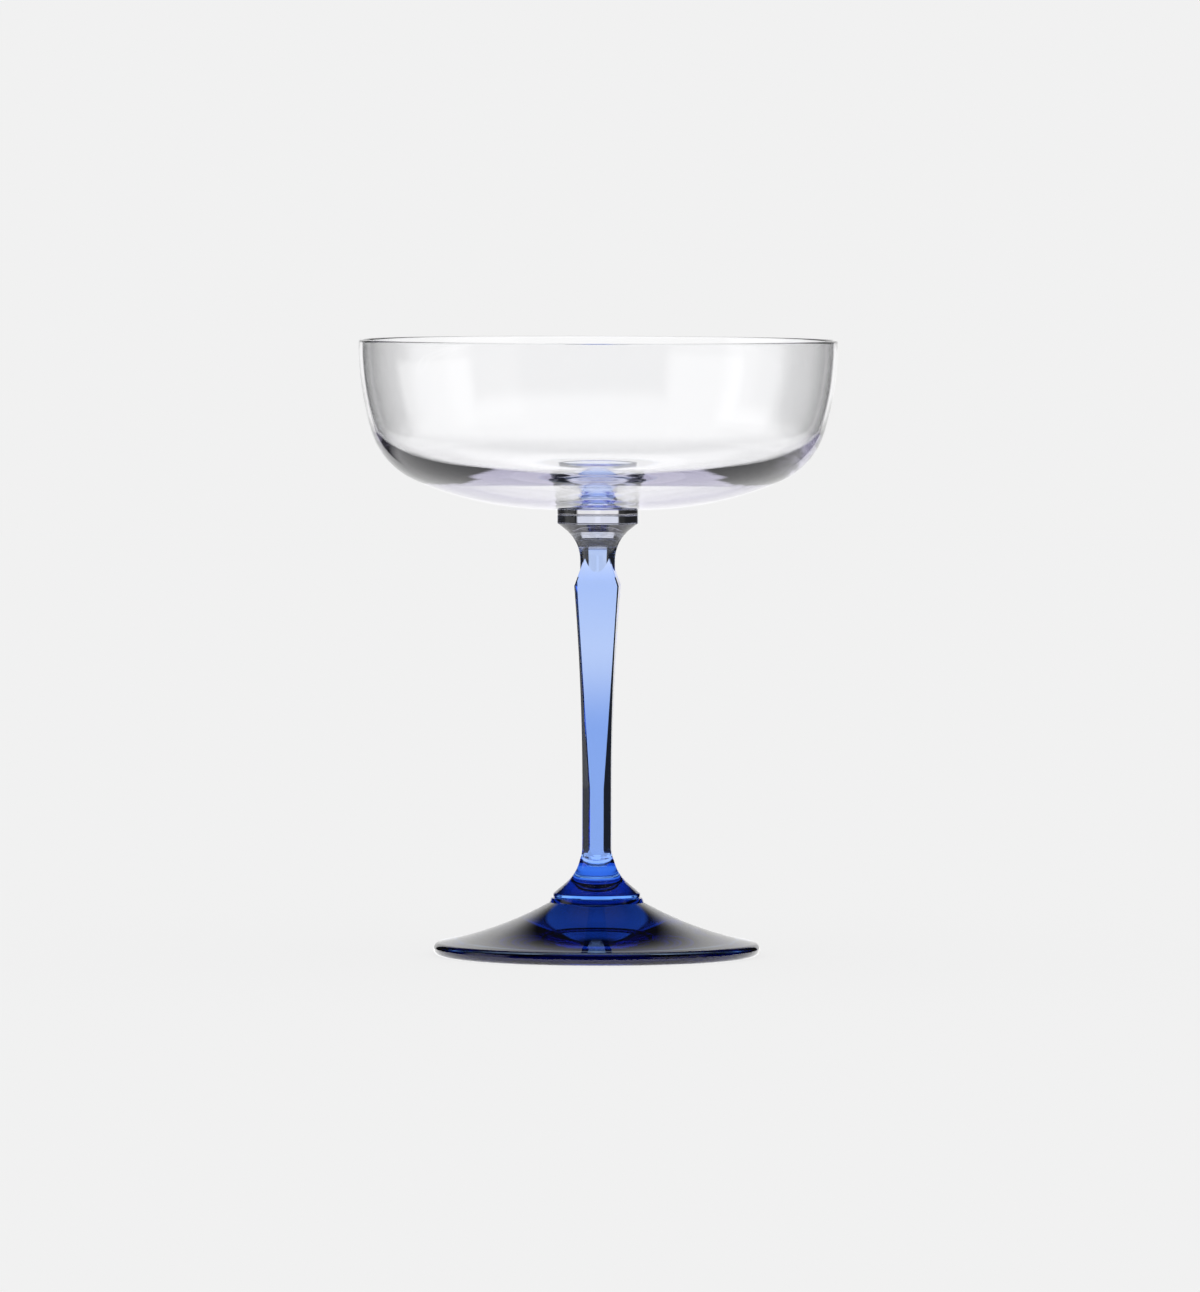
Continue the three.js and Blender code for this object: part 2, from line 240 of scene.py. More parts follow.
class CoupeStage(bpy.types.PropertyGroup):
    """Camera, floor and light"""

    distance: length("Distance", "From the camera to the axis of the glass", 2800)
    camera_height: length("Camera height", "Height of the camera above the floor", 195)
    aim_height: length("Aim height", "Height of the point in the middle of the picture", 74.3)
    aim_right: length("Aim right", "How far that point lies to the right of the axis", 0.62)
    azimuth: angle("Azimuth", "How far the camera is turned round the glass", 3.0)
    roll: angle("Roll", "Turn of the camera about its line of sight", 0.15)
    picture_height: length("Picture height", "Height that the picture takes in at the axis", 310.2)
    backdrop: level("Backdrop", "Brightness of the floor and backdrop", 0.88)
    ground: level("Ground", "Brightness of the light table, as the glass shows it", 1.0)
    window: level("Window", "Brightness of the light behind the glass", 0.93)
    core: level("Window core", "Brightness of the middle of the light behind the glass", 1.05)
    left_box: level("Left box", "Brightness of the light at the left", 1.2)
    right_box: level("Right box", "Brightness of the light at the right", 1.1)
    top_light: level("Top light", "Brightness of the light above the glass", 0.1)
    left_top: level("Left box top", "Brightness of the upper half of the light at the left", 0.78)
    right_top: level("Right box top", "Brightness of the upper half of the light at the right", 0.4)
    shade: level("Shade", "Brightness of the room between the lights", 0.02)
    # Painted light and painted shadow on the table round the foot, which only the glass sees
    painted_light_under_stem: level("Under the stem", "Brightness of the table under the middle of the foot", 1.6)
    painted_light_round_foot: level("Round the foot", "Brightness of the table close round the foot", 1.5)
    painted_shadow_under_foot: level("Under the foot", "Brightness of the table in the shade of the foot", 0.15)
    painted_shadow_inner: length("Shade inner", "Inner radius of the dark ring under the foot", 19)
    painted_shadow_outer: length("Shade outer", "Outer radius of the dark ring under the foot", 35)
    painted_glow_outer: length("Glow outer", "Outer radius of the bright table round the foot", 62)
    shadow: level("Shadow", "How much of the shadow shows on the floor", 0.12)


class CoupeSettings(bpy.types.PropertyGroup):
    """All that can be set on the coupe"""

    bowl: PointerProperty(type=CoupeBowl)
    stem: PointerProperty(type=CoupeStem)
    foot: PointerProperty(type=CoupeFoot)
    glass: PointerProperty(type=CoupeGlass)
    stage: PointerProperty(type=CoupeStage)


# Outlines are lists of (radius, height), from the axis below, up the outside and back to the axis above


def curve(centre, radius_at, start, end):
    """Points on a curve about a centre, whose radius may change with the angle."""
    steps = max(2, math.ceil(abs(end - start) / ARC_STEP))
    points = []
    for i in range(steps + 1):
        turn = start + (end - start) * i / steps
        radius = radius_at(turn)
        points.append((centre[0] + radius * math.cos(turn), centre[1] + radius * math.sin(turn)))
    return points


def arc(centre, radius, start, end):
    """Points on an arc of one radius."""
    return curve(centre, lambda turn: radius, start, end)


def angle_from(centre, point):
    """Direction from a centre to a point."""
    return math.atan2(point[1] - centre[1], point[0] - centre[0])


def circles_meet(first, first_radius, second, second_radius, sign):
    """The point at two distances from two centres, right (1) or left (-1) of the line between them."""
    start, end = Vector(first), Vector(second)
    apart = (end - start).length
    along = (first_radius**2 - second_radius**2 + apart**2) / (2 * apart)
    across = math.sqrt(first_radius**2 - along**2)
    direction = (end - start).normalized()
    right = Vector((direction.y, -direction.x))
    return tuple(start + direction * along + right * sign * across)


class Flare:
    """A side that widens from a neck along a hollow arc, then along a cone.

    Heights are from the neck's end.
    """

    def __init__(self, neck, arc_radius, cone_angle, mouth):
        self.neck = neck
        self.arc_radius = arc_radius
        self.cone_angle = cone_angle
        self.arc_height = arc_radius * math.sin(cone_angle)
        self.cone_start = neck + arc_radius * (1 - math.cos(cone_angle))
        self.height = self.arc_height + (mouth - self.cone_start) / math.tan(cone_angle)

    def radius(self, height):
        """Radius at a height."""
        if height > self.arc_height:
            return self.cone_start + (height - self.arc_height) * math.tan(self.cone_angle)
        on_arc = max(height, 0.0)
        return self.neck + self.arc_radius - math.sqrt(self.arc_radius**2 - on_arc**2)

    def outline(self, low, high):
        """Points between two heights."""
        steps = math.ceil(self.cone_angle / ARC_STEP)
        heights = [self.arc_radius * math.sin(self.cone_angle * i / steps) for i in range(steps + 1)]
        inside = [h for h in heights if low + SAME_POINT < h < high - SAME_POINT]
        return [(self.radius(h), h) for h in [low, *inside, high]]


def settings():
    """The coupe's settings in this scene."""
    return bpy.context.scene.coupe


def seam_heights(node):
    """Heights of a solid's lower and upper end."""
    low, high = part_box(node)
    return low.z, high.z


def node_radius(node):
    """Largest radius of a solid."""
    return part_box(node)[1].x


def trumpet_flare():
    """The side of the trumpet and of the stem's neck, and the height on it of the joint between them."""
    stem = settings().stem
    flare = Flare(stem.neck_radius, stem.neck_arc, stem.trumpet_angle, node_radius("trumpet"))
    low, high = seam_heights("trumpet")
    return flare, flare.height - (high - low)


def base_flare():
    """The flare of the stem's foot and of the stem base, and the height on it of the joint between them."""
    stem = settings().stem
    mouth = stem.upper_bead - stem.bead_fillet * (1 - math.cos(stem.flare_angle))
    mouth_height = stem.ring_side + stem.bead_fillet * math.sin(stem.flare_angle)
    flare = Flare(stem.flare_neck, stem.flare_arc, stem.flare_angle, mouth)
    low, high = seam_heights("stem_base")
    return flare, mouth_height + flare.height - (high - low)


# Modelling


def deselect_all():
    """Leaves nothing selected, in object mode."""
    if bpy.context.object and bpy.context.object.mode != "OBJECT":
        bpy.ops.object.mode_set(mode="OBJECT")
    bpy.ops.object.select_all(action="DESELECT")


def spin_outline(name, outline, steps):
    """Draws an outline, point by point, and spins it about the axis into a closed mesh."""
    deselect_all()
    bpy.ops.mesh.primitive_plane_add(size=MM)
    piece = bpy.context.object
    piece.name = name
    piece.data.name = name
    bpy.ops.object.mode_set(mode="EDIT")
    bpy.ops.mesh.select_all(action="SELECT")
    bpy.ops.mesh.merge(type="CENTER")
    here = (0.0, 0.0)
    for i, point in enumerate(outline):
        move = (point[0] - here[0], 0.0, point[1] - here[1])
        if i == 0:
            bpy.ops.transform.translate(value=move)
        elif Vector(move).length > SAME_POINT:
            bpy.ops.mesh.extrude_region_move(TRANSFORM_OT_translate={"value": move})
        else:
            continue
        here = point
    bpy.ops.mesh.select_all(action="SELECT")
    bpy.ops.mesh.spin(steps=steps, angle=math.tau, center=(0, 0, 0), axis=(0, 0, 1))
    close_mesh()
    return piece


def close_mesh():
    """Merges doubled points, turns all faces outwards and leaves edit mode."""
    bpy.ops.mesh.select_all(action="SELECT")
    bpy.ops.mesh.remove_doubles(threshold=SAME_POINT)
    bpy.ops.mesh.normals_make_consistent(inside=False)
    bpy.ops.object.mode_set(mode="OBJECT")


def apply_boolean(piece, tool, operation):
    """Cuts or joins a piece with a tool, and removes the tool."""
    deselect_all()
    piece.select_set(True)
    bpy.context.view_layer.objects.active = piece
    modifier = piece.modifiers.new(operation, "BOOLEAN")
    modifier.operation = operation
    modifier.solver = "EXACT"
    modifier.object = tool
    bpy.ops.object.modifier_apply(modifier=modifier.name)
    bpy.data.meshes.remove(tool.data)


def finish_piece(piece, node, material, seams):
    """Smooths a piece, marks its seams, gives it its glass and puts it in the place of its solid."""
    deselect_all()
    piece.select_set(True)
    bpy.context.view_layer.objects.active = piece
    bpy.ops.object.shade_smooth_by_angle(angle=SMOOTH_ANGLE)
    bpy.ops.geometry.attribute_add(name=SEAM, domain="FACE", data_type="FLOAT")
    marks = piece.data.attributes[SEAM].data
    for face in piece.data.polygons:
        on_seam = any(abs(face.center.z - height) < SEAM_REACH for height in seams)
        marks[face.index].value = float(on_seam and abs(face.normal.z) > UPRIGHT)
    piece.data.materials.clear()
    piece.data.materials.append(material)
    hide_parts(node)
    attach(piece, BODY)


# Shader nodes


def add_node(tree, kind, values=None, **settings_of_node):
    """Adds a shader node, with its settings and the values of its inputs."""
    node = tree.nodes.new(kind)
    for key, value in settings_of_node.items():
        setattr(node, key, value)
    for key, value in (values or {}).items():
        node.inputs[key].default_value = value
    return node


def empty_tree(holder):
    """The node tree of a material or a world, with nothing in it."""
    holder.use_nodes = True
    holder.node_tree.nodes.clear()
    return holder.node_tree


def smooth_step(tree, value, start, end):
    """Rises smoothly from 0 to 1 while a value goes from a start to an end."""
    limits = {"From Min": start, "From Max": end}
    step = add_node(tree, "ShaderNodeMapRange", limits, interpolation_type="SMOOTHSTEP")
    tree.links.new(value, step.inputs["Value"])
    return step.outputs["Result"]


def above(tree, value, limit, soft):
    """Where a value lies above a limit, with a soft edge."""
    return smooth_step(tree, value, limit - soft, limit + soft)


def below(tree, value, limit, soft):
    """Where a value lies below a limit, with a soft edge."""
    return smooth_step(tree, value, limit + soft, limit - soft)


def feed(tree, value, socket):
    """Gives a socket a number, or the value of another socket."""
    if isinstance(value, float):
        socket.default_value = value
    else:
        tree.links.new(value, socket)


def combine(tree, operation, *values):
    """One value worked out from others, each a socket or a number."""
    node = add_node(tree, "ShaderNodeMath", operation=operation)
    for value, socket in zip(values, node.inputs):
        feed(tree, value, socket)
    return node.outputs["Value"]


def mix_shaders(tree, share, first, second):
    """A mix of two shaders, by a share that is a socket or a number."""
    node = add_node(tree, "ShaderNodeMixShader")
    feed(tree, share, node.inputs["Fac"])
    tree.links.new(first.outputs[0], node.inputs[1])
    tree.links.new(second.outputs[0], node.inputs[2])
    return node


# Materials


def fuse_seams(tree, seam, surface):
    """Lets a seam bend no light, because its two gathers are fused."""
    index = add_node(tree, "ShaderNodeMapRange", {"To Min": settings().glass.index, "To Max": 1.0})
    tree.links.new(seam, index.inputs["Value"])
    tree.links.new(index.outputs["Result"], surface.inputs["IOR"])


def smear(tree, where, seam, surface):
    """Adds smears from handling, which dull the polish a little. Returns the trace of colour in them."""
    link = tree.links.new
    smears = add_node(tree, "ShaderNodeTexNoise", SMEARS)
    link(where, smears.inputs["Vector"])
    dull = add_node(tree, "ShaderNodeMapRange", {
        "From Min": SMEAR_START,
        "From Max": SMEAR_FULL,
        "To Min": 0.0,
        "To Max": settings().glass.smear,
    })
    link(smears.outputs["Fac"], dull.inputs["Value"])
    polish = add_node(tree, "ShaderNodeMix", {"B": 0.0}, data_type="FLOAT")
    link(seam, polish.inputs["Factor"])
    link(dull.outputs["Result"], polish.inputs["A"])
    link(polish.outputs["Result"], surface.inputs["Roughness"])
    haze = add_node(tree, "ShaderNodeMix", {"A": WHITE, "B": HAZE}, data_type="RGBA")
    link(smears.outputs["Fac"], haze.inputs["Factor"])
    return haze.outputs["Result"]


def deepen_downwards(tree, where, tone, deep, low, high):
    """Lets a glass grow deeper in colour from one height down to another. Returns its colour."""
    link = tree.links.new
    place = add_node(tree, "ShaderNodeSeparateXYZ")
    link(where, place.inputs["Vector"])
    depth = add_node(tree, "ShaderNodeMix", {"A": (*deep, 1.0), "B": WHITE}, data_type="RGBA")
    link(smooth_step(tree, place.outputs["Z"], low, high), depth.inputs["Factor"])
    blend = add_node(tree, "ShaderNodeMix", {"Factor": 1.0}, data_type="RGBA", blend_type="MULTIPLY")
    link(depth.outputs["Result"], blend.inputs["A"])
    link(tone, blend.inputs["B"])
    return blend.outputs["Result"]


def ripple(tree, where, surface):
    """Adds the slow waves left by blowing and fire-polishing."""
    link = tree.links.new
    waves = add_node(tree, "ShaderNodeTexNoise", WAVES)
    link(where, waves.inputs["Vector"])
    swell = add_node(tree, "ShaderNodeBump", {"Strength": 1.0, "Distance": settings().glass.wave})
    link(waves.outputs["Fac"], swell.inputs["Height"])
    link(swell.outputs["Normal"], surface.inputs["Normal"])


def glass(name, tint, density, deepen=None):
    """A polished glass with faint waves and smears, whose colour comes from its depth."""
    material = bpy.data.materials.new(name)
    tree = empty_tree(material)
    link = tree.links.new
    out = add_node(tree, "ShaderNodeOutputMaterial")
    surface = add_node(tree, "ShaderNodeBsdfPrincipled", {"Transmission Weight": 1.0})
    link(surface.outputs["BSDF"], out.inputs["Surface"])
    depth = add_node(tree, "ShaderNodeVolumeAbsorption", {"Color": (*tint, 1.0), "Density": density})
    link(depth.outputs["Volume"], out.inputs["Volume"])
    where = add_node(tree, "ShaderNodeTexCoord").outputs["Object"]
    seam = add_node(tree, "ShaderNodeAttribute", attribute_name=SEAM).outputs["Fac"]
    fuse_seams(tree, seam, surface)
    tone = smear(tree, where, seam, surface)
    if deepen:
        tone = deepen_downwards(tree, where, tone, *deepen)
    link(tone, surface.inputs["Base Color"])
    ripple(tree, where, surface)
    return material


def bowl_glass():
    """The bowl's clear glass."""
    values = settings().glass
    return glass("bowl_glass", values.clear_colour, values.clear_density)


def collar_glass():
    """The disc's glass, which catches some of the stem's blue."""
    values = settings().glass
    return glass("collar_glass", values.collar_colour, values.collar_density)


def trumpet_glass():
    """The trumpet's glass, which darkens towards the blue neck."""
    values = settings().glass
    low, high = seam_heights("trumpet")
    tall = high - low
    deepen = (values.trumpet_deep, low + TRUMPET_DARK * tall, low + TRUMPET_CLEAR * tall)
    return glass("trumpet_glass", values.collar_colour, values.collar_density, deepen)


def stem_glass():
    """The stem's glass, a deeper blue towards its foot."""
    values = settings().glass
    deepen = (values.stem_deep, values.deep_low, values.deep_high)
    return glass("stem_glass", values.stem_colour, values.stem_density, deepen)


def flare_glass():
    """The stem base's glass."""
    values = settings().glass
    return glass("flare_glass", values.flare_colour, values.flare_density)


def foot_glass():
    """The foot's glass."""
    values = settings().glass
    return glass("foot_glass", values.foot_colour, values.foot_density)


# Pieces


class COUPE_OT_bowl(bpy.types.Operator):
    """Model the bowl: its pad, its three tangent curves, its rounded rim and the inside"""

    bl_idname = "coupe.bowl"
    bl_label = "Bowl"

    def execute(self, context):
        size = settings().bowl
        low, high = seam_heights("bowl")
        rim_radius = node_radius("bowl")
        pad_radius = node_radius("merese")
        pad_fillet = settings().stem.merese_fillet
        half_wall = size.rim_wall / 2
        bottom = (size.bottom_flat, low + size.pad_height + size.bottom_arc)
        rim = (rim_radius - size.wall_arc, high - half_wall)
        to_rim = size.wall_arc - size.shoulder_arc
        to_bottom = size.bottom_arc - size.shoulder_arc
        shoulder = circles_meet(rim, to_rim, bottom, to_bottom, 1)
        low_turn = angle_from(bottom, shoulder)
        high_turn = angle_from(rim, shoulder)
        arcs = [
            (bottom, size.bottom_arc, -math.pi / 2, low_turn),
            (shoulder, size.shoulder_arc, low_turn, high_turn),
            (rim, size.wall_arc, high_turn, 0.0),
        ]

        def wall(turn):
            return size.rim_wall + (size.bottom_wall - size.rim_wall) * math.sin(turn) ** 2

        outside = []
        inside = []
        for centre, radius, start, end in arcs:
            outside += arc(centre, radius, start, end)
            inside += curve(centre, lambda turn: radius - wall(turn), start, end)
        pad_edge = (pad_radius - pad_fillet, low + SEAM_GAP + pad_fillet)
        outline = [
            (0.0, low + SEAM_GAP),
            *arc(pad_edge, pad_fillet, -math.pi / 2, 0.0),
            (pad_radius, low + size.pad_height),
            *outside,
            *arc((rim_radius - half_wall, high - half_wall), half_wall, 0.0, math.pi),
            *reversed(inside),
            (0.0, low + size.pad_height + size.bottom_wall),
        ]
        piece = spin_outline("coupe_bowl", outline, WIDE_STEPS)
        finish_piece(piece, "bowl", bowl_glass(), [low])
        return {"FINISHED"}


class COUPE_OT_merese(bpy.types.Operator):
    """Model the disc under the bowl, with rounded edges"""

    bl_idname = "coupe.merese"
    bl_label = "Merese"

    def execute(self, context):
        low, high = seam_heights("merese")
        radius = node_radius("merese")
        edge = settings().stem.merese_fillet
        inset = radius - edge
        outline = [
            (0.0, low + SEAM_GAP),
            *arc((inset, low + SEAM_GAP + edge), edge, -math.pi / 2, 0.0),
            *arc((inset, high - SEAM_GAP - edge), edge, 0.0, math.pi / 2),
            (0.0, high - SEAM_GAP),
        ]
        piece = spin_outline("coupe_merese", outline, SLIM_STEPS)
        finish_piece(piece, "merese", collar_glass(), [low, high])
        return {"FINISHED"}


class COUPE_OT_trumpet(bpy.types.Operator):
    """Model the clear trumpet that narrows to the neck"""

    bl_idname = "coupe.trumpet"
    bl_label = "Trumpet"

    def execute(self, context):
        low, high = seam_heights("trumpet")
        flare, joint = trumpet_flare()
        side = flare.outline(joint + SEAM_GAP, flare.height - SEAM_GAP)
        lift = low - joint
        outline = [(0.0, low + SEAM_GAP), *[(r, h + lift) for r, h in side], (0.0, high - SEAM_GAP)]
        piece = spin_outline("coupe_trumpet", outline, SLIM_STEPS)
        finish_piece(piece, "trumpet", trumpet_glass(), [low, high])
        return {"FINISHED"}


class COUPE_OT_stem(bpy.types.Operator):
    """Model the stem: a faceted shank cut from a round blank, and the round neck on its shoulder"""

    bl_idname = "coupe.stem"
    bl_label = "Stem"

    def section(self, height):
        """Half the width across the flats, and of a broad facet, at a height above the stem's foot."""
        size = settings().stem
        low, high = seam_heights("stem")
        shoulder = high - low - size.shoulder_drop
        if height > shoulder:
            share = 1 - (height - shoulder) * math.tan(size.roof_angle) / size.shoulder_half
            return size.shoulder_half * share, size.shoulder_facet * share
        rise = max((height - size.taper_start) / (shoulder - size.taper_start), 0.0)
        depth = min(max(size.run_out_start - height, 0.0), size.run_out_arc)
        run_out = size.run_out_arc - math.sqrt(size.run_out_arc**2 - depth**2)
        half = size.shank_half + (size.shoulder_half - size.shank_half) * rise**2
        facet = size.shank_facet + (size.shoulder_facet - size.shank_facet) * rise
        return half + run_out, facet + run_out * FACET_SHARE

    def rows(self, bottom, shoulder, top):
        """Heights at which the shank is shaped."""
        size = settings().stem
        fall = size.run_out_start - bottom
        run_out = [bottom + fall * i / RUN_OUT_ROWS for i in range(RUN_OUT_ROWS + 1)]
        span = shoulder - size.taper_start
        taper = [size.taper_start + span * i / SHANK_ROWS for i in range(SHANK_ROWS + 1)]
        return [*run_out, *taper, top]

    def shank(self, low, shoulder, top):
        """An eight-sided bar, cut into rows, each drawn in or out to its section."""
        deselect_all()
        rows = self.rows(-CUT_MARGIN, shoulder, top)
        bar = rows[-1] - rows[0]
        bpy.ops.mesh.primitive_cylinder_add(
            vertices=FACETS,
            radius=BAR_HALF / math.cos(HALF_FACET),
            depth=bar,
            location=(0, 0, low + rows[0] + bar / 2),
            rotation=(0, 0, HALF_FACET),
        )
        piece = bpy.context.object
        bpy.ops.object.transform_apply()
        bpy.ops.object.mode_set(mode="EDIT")
        for height in rows[1:-1]:
            bpy.ops.mesh.select_all(action="SELECT")
            bpy.ops.mesh.bisect(plane_co=(0, 0, low + height), plane_no=(0, 0, 1))
        bpy.ops.object.mode_set(mode="OBJECT")
        for vertex in piece.data.vertices:
            half, facet = self.section(vertex.co.z - low)
            reach = facet / FACET_SHARE
            faces_x = abs(vertex.co.x) > abs(vertex.co.y)
            vertex.co.x *= (half if faces_x else reach) / BAR_HALF
            vertex.co.y *= (reach if faces_x else half) / BAR_HALF
        return piece

    def execute(self, context):
        size = settings().stem
        low, high = seam_heights("stem")
        tall = high - low
        shoulder = tall - size.shoulder_drop
        flare, joint = base_flare()
        foot = [(r, low + joint - h) for r, h in flare.outline(0.0, joint - SEAM_GAP)]
        widest = size.shoulder_half * math.sqrt(2) + CUT_MARGIN
        blank_outline = [(0.0, low + SEAM_GAP), *reversed(foot), (widest, high), (0.0, high)]
        roof = (size.shoulder_half - size.neck_radius / 2) / math.tan(size.roof_angle)
        piece = self.shank(low, shoulder, shoulder + roof)
        piece.name = "coupe_stem"
        piece.data.name = "coupe_stem"
        apply_boolean(piece, spin_outline("stem_blank", blank_outline, SLIM_STEPS), "INTERSECT")
        neck, neck_joint = trumpet_flare()
        side = [(r, high - neck_joint + h) for r, h in neck.outline(0.0, neck_joint - SEAM_GAP)]
        inside = low + shoulder - CUT_MARGIN
        neck_outline = [(0.0, inside), (size.neck_radius, inside), *side, (0.0, high - SEAM_GAP)]
        apply_boolean(piece, spin_outline("stem_neck", neck_outline, SLIM_STEPS), "UNION")
        bpy.ops.object.mode_set(mode="EDIT")
        close_mesh()
        finish_piece(piece, "stem", stem_glass(), [low, high])
        return {"FINISHED"}


class COUPE_OT_stem_base(bpy.types.Operator):
    """Model the flare at the foot of the stem, and its ring of two beads with a groove between them"""

    bl_idname = "coupe.stem_base"
    bl_label = "Stem base"

    def execute(self, context):
        size = settings().stem
        low, high = seam_heights("stem_base")
        flare, joint = base_flare()
        side = [(r, high + joint - h) for r, h in flare.outline(joint + SEAM_GAP, flare.height)]
        groove_top = size.lower_bead_height + size.groove_height
        groove_middle = (size.lower_bead_height + groove_top) / 2
        bead = (size.upper_bead - size.bead_fillet, low + size.ring_side)
        outline = [
            (0.0, low + SEAM_GAP),
            (node_radius("stem_base"), low + SEAM_GAP),
            (size.lower_bead, low + size.lower_bead_height),
            (size.upper_bead - size.groove_depth, low + groove_middle),
            (size.upper_bead, low + groove_top),
            *arc(bead, size.bead_fillet, 0.0, size.flare_angle),
            *reversed(side),
            (0.0, high - SEAM_GAP),
        ]
        piece = spin_outline("coupe_stem_base", outline, SLIM_STEPS)
        finish_piece(piece, "stem_base", flare_glass(), [low, high])
        return {"FINISHED"}


class COUPE_OT_foot(bpy.types.Operator):
    """Model the foot: a hollow-sided cone with a rounded edge, on a flat rim round a shallow recess"""

    bl_idname = "coupe.foot"
    bl_label = "Foot"

    def execute(self, context):
        size = settings().foot
        low, high = seam_heights("foot")
        edge_radius = node_radius("foot") - size.edge_fillet
        top = (node_radius("stem_base"), high)
        low_edge = (edge_radius, low + size.edge_fillet)
        high_edge = (edge_radius, low + size.edge_height - size.edge_fillet)
        cone = circles_meet(top, size.cone_arc, high_edge, size.cone_arc + size.edge_fillet, -1)
        rest_inner = edge_radius - size.rest_width
        outline = [
            (0.0, low + size.recess),
            (rest_inner - size.recess, low + size.recess),
            (rest_inner, low),
            *arc(low_edge, size.edge_fillet, -math.pi / 2, 0.0),
            *arc(high_edge, size.edge_fillet, 0.0, angle_from(high_edge, cone)),
            *arc(cone, size.cone_arc, angle_from(cone, high_edge), angle_from(cone, top)),
            (top[0], high - SEAM_GAP),
            (0.0, high - SEAM_GAP),
        ]
        piece = spin_outline("coupe_foot", outline, WIDE_STEPS)
        finish_piece(piece, "foot", foot_glass(), [high])
        return {"FINISHED"}


# Stage


class COUPE_OT_stage(bpy.types.Operator):
    """Set the pale floor, the lights round the glass and the camera"""

    bl_idname = "coupe.stage"
    bl_label = "Stage"

    def camera(self, stage):
        """A long lens, looking slightly down on the glass."""
        turn = stage.azimuth
        right = Vector((math.cos(turn), math.sin(turn), 0.0))
        aim = right * stage.aim_right + Vector((0, 0, stage.aim_height))
        back = Vector((math.sin(turn), -math.cos(turn), 0.0))
        place = back * stage.distance + Vector((0, 0, stage.camera_height))
        bpy.ops.object.camera_add(location=place)
        camera = bpy.context.object
        camera.name = "camera"
        look = (aim - place).to_track_quat("-Z", "Y") @ Quaternion((0, 0, 1), stage.roll)
        camera.rotation_euler = look.to_euler()
        camera.data.sensor_width = SENSOR_WIDTH
        camera.data.lens = SENSOR_WIDTH * (aim - place).length / stage.picture_height
        bpy.context.scene.camera = camera

    def patch(self, tree, around, up, light):
        """Where a light stands in the room."""
        soft = math.radians(light.side_soft)
        left = above(tree, around, math.radians(light.left), soft)
        right = below(tree, around, math.radians(light.right), soft)
        top = below(tree, up, math.radians(light.top), math.radians(light.top_soft))
        return combine(tree, "MULTIPLY", combine(tree, "MULTIPLY", left, right), top)

    def room(self, tree, stage):
        """Brightness of the room in each direction, as the glass shows it."""
        link = tree.links.new
        where = add_node(tree, "ShaderNodeTexCoord")
        turned = add_node(tree, "ShaderNodeVectorRotate", rotation_type="Z_AXIS")
        turned.inputs["Angle"].default_value = -stage.azimuth
        link(where.outputs["Generated"], turned.inputs["Vector"])
        parts = add_node(tree, "ShaderNodeSeparateXYZ")
        link(turned.outputs["Vector"], parts.inputs["Vector"])
        around = combine(tree, "ARCTAN2", parts.outputs["X"], parts.outputs["Y"])
        up = combine(tree, "ARCSINE", parts.outputs["Z"])
        table = below(tree, up, math.radians(TABLE_EDGE), math.radians(TABLE_SOFT))
        ceiling = above(tree, up, math.radians(CEILING_EDGE), math.radians(CEILING_SOFT))
        lights = [
            (WINDOW, stage.window),
            (WINDOW_CORE, stage.core),
            (LEFT_BOX, stage.left_box),
            (LEFT_TOP, stage.left_top),
            (RIGHT_BOX, stage.right_box),
            (RIGHT_TOP, stage.right_top),
        ]
        patches = [(table, stage.ground), (ceiling, stage.top_light)]
        patches += [(self.patch(tree, around, up, light), bright) for light, bright in lights]
        total = stage.shade
        for patch, bright in patches:
            lit = combine(tree, "MULTIPLY", patch, bright)
            total = combine(tree, "MAXIMUM", lit, total)
        return total

    def seen_by_glass(self, tree):
        """Where a ray comes from a surface that mirrors or bends light."""
        ray = add_node(tree, "ShaderNodeLightPath").outputs
        return combine(tree, "MAXIMUM", ray["Is Glossy Ray"], ray["Is Transmission Ray"])

    def world(self, stage):
        """A plain pale backdrop, in which the glass shows the lights of the room."""
        world = bpy.data.worlds.new("bright_field")
        bpy.context.scene.world = world
        tree = empty_tree(world)
        out = add_node(tree, "ShaderNodeOutputWorld")
        backdrop = add_node(tree, "ShaderNodeBackground", {"Color": WHITE, "Strength": stage.backdrop})
        room = add_node(tree, "ShaderNodeBackground", {"Color": WHITE})
        tree.links.new(self.room(tree, stage), room.inputs["Strength"])
        shown = mix_shaders(tree, self.seen_by_glass(tree), backdrop, room)
        tree.links.new(shown.outputs["Shader"], out.inputs["Surface"])

    def painted_glow_and_shadow(self, tree, stage):
        """Painted light and shade on the table near the foot, seen only by the glass: a painted pool of
        light under the stem, a painted shadow ring under the foot, painted light close round it, and clear
        farther out.
        """
        link = tree.links.new
        where = add_node(tree, "ShaderNodeTexCoord")
        distance = add_node(tree, "ShaderNodeVectorMath", operation="LENGTH")
        link(where.outputs["Object"], distance.inputs["Vector"])
        radius = distance.outputs["Value"]
        # Painted pool of light under the stem, where light runs down the stem onto the table
        centre = below(tree, radius, stage.painted_shadow_inner, PAINTED_GLOW_SOFT)
        centre = combine(tree, "MULTIPLY", centre, stage.painted_light_under_stem)
        # Painted light close round the foot
        outside = above(tree, radius, stage.painted_shadow_outer, PAINTED_GLOW_SOFT)
        outside = combine(tree, "MULTIPLY", outside, stage.painted_light_round_foot)
        lit = combine(tree, "MAXIMUM", centre, outside)
        # Painted shadow of the foot: a dim ring between the two
        lit = combine(tree, "MAXIMUM", lit, stage.painted_shadow_under_foot)
        glow = add_node(tree, "ShaderNodeEmission", {"Color": WHITE})
        link(lit, glow.inputs["Strength"])
        clear = add_node(tree, "ShaderNodeBsdfTransparent")
        # The painted glow and painted shadow end here; farther out the glass sees the room
        near = below(tree, radius, stage.painted_glow_outer, PAINTED_GLOW_SOFT)
        return mix_shaders(tree, near, clear, glow)

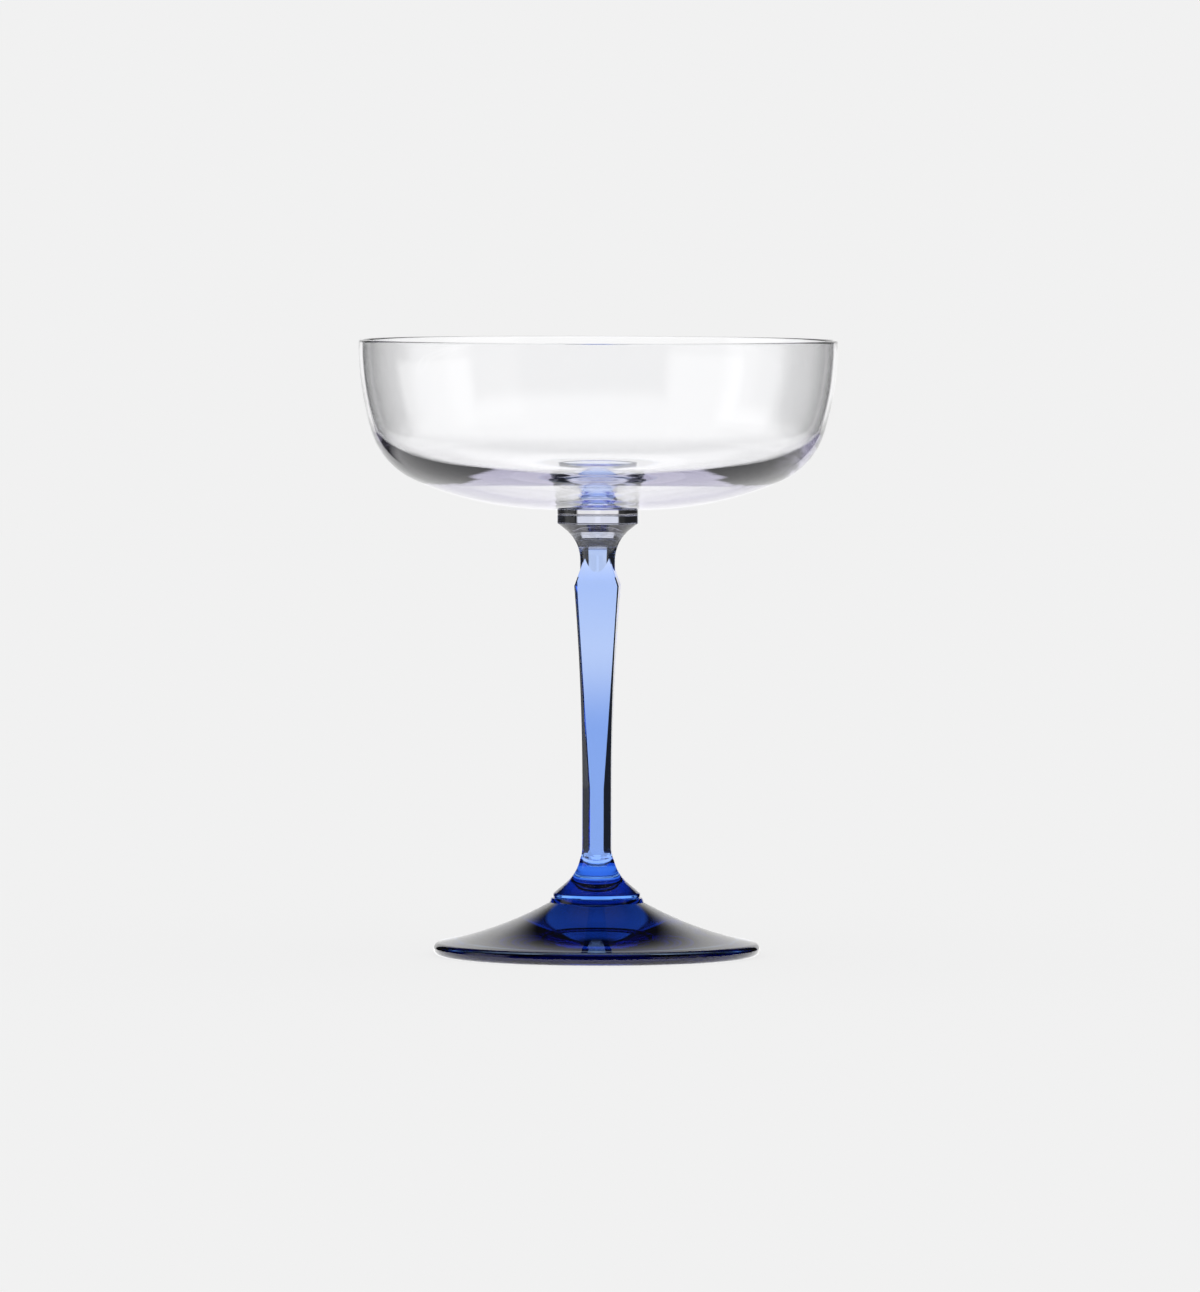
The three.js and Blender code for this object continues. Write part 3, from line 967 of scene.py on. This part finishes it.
    def floor(self, stage):
        """A pale floor with a faint shadow, on which the glass shows a painted glow and a painted shadow
        round the foot.
        """
        deselect_all()
        bpy.ops.mesh.primitive_circle_add(
            vertices=FLOOR_SIDES, radius=FLOOR_RADIUS, fill_type="NGON", location=(0, 0, -FLOOR_DROP)
        )
        floor = bpy.context.object
        floor.name = "floor"
        bpy.ops.object.transform_apply()
        material = bpy.data.materials.new("pale_floor")
        tree = empty_tree(material)
        out = add_node(tree, "ShaderNodeOutputMaterial")
        glow = add_node(tree, "ShaderNodeEmission", {"Color": WHITE, "Strength": stage.backdrop})
        paint = add_node(tree, "ShaderNodeBsdfDiffuse", {"Color": WHITE})
        pale = mix_shaders(tree, stage.shadow, glow, paint)
        # Painted glow and painted shadow round the foot, which only the glass sees
        table = self.painted_glow_and_shadow(tree, stage)
        shown = mix_shaders(tree, self.seen_by_glass(tree), pale, table)
        tree.links.new(shown.outputs["Shader"], out.inputs["Surface"])
        floor.data.materials.append(material)

    def execute(self, context):
        stage = settings().stage
        scene = bpy.context.scene
        scene.view_settings.view_transform = "Standard"
        scene.cycles.max_bounces = LIGHT_BOUNCES
        scene.cycles.glossy_bounces = LIGHT_BOUNCES
        scene.cycles.transmission_bounces = LIGHT_BOUNCES
        self.camera(stage)
        self.world(stage)
        self.floor(stage)
        return {"FINISHED"}


class COUPE_PT_panel(bpy.types.Panel):
    """The pieces of the coupe, in the order in which they are made"""

    bl_label = "Champagne Coupe"
    bl_idname = "COUPE_PT_panel"
    bl_space_type = "VIEW_3D"
    bl_region_type = "UI"
    bl_category = "Coupe"

    def draw(self, context):
        for step in STEPS:
            self.layout.operator(step.bl_idname)


STEPS = (
    COUPE_OT_bowl,
    COUPE_OT_merese,
    COUPE_OT_trumpet,
    COUPE_OT_stem,
    COUPE_OT_stem_base,
    COUPE_OT_foot,
    COUPE_OT_stage,
)
GROUPS = (CoupeBowl, CoupeStem, CoupeFoot, CoupeGlass, CoupeStage, CoupeSettings)


def register():
    """Makes the settings, operators and panel known to Blender."""
    for group in (*GROUPS, *STEPS, COUPE_PT_panel):
        bpy.utils.register_class(group)
    bpy.types.Scene.coupe = PointerProperty(type=CoupeSettings)


def unregister():
    """Takes them out again."""
    del bpy.types.Scene.coupe
    for group in reversed((*GROUPS, *STEPS, COUPE_PT_panel)):
        bpy.utils.unregister_class(group)


def main():
    """Makes the coupe and its stage."""
    register()
    bpy.ops.coupe.bowl()
    bpy.ops.coupe.merese()
    bpy.ops.coupe.trumpet()
    bpy.ops.coupe.stem()
    bpy.ops.coupe.stem_base()
    bpy.ops.coupe.foot()
    bpy.ops.coupe.stage()


if __name__ == "__main__":
    main()
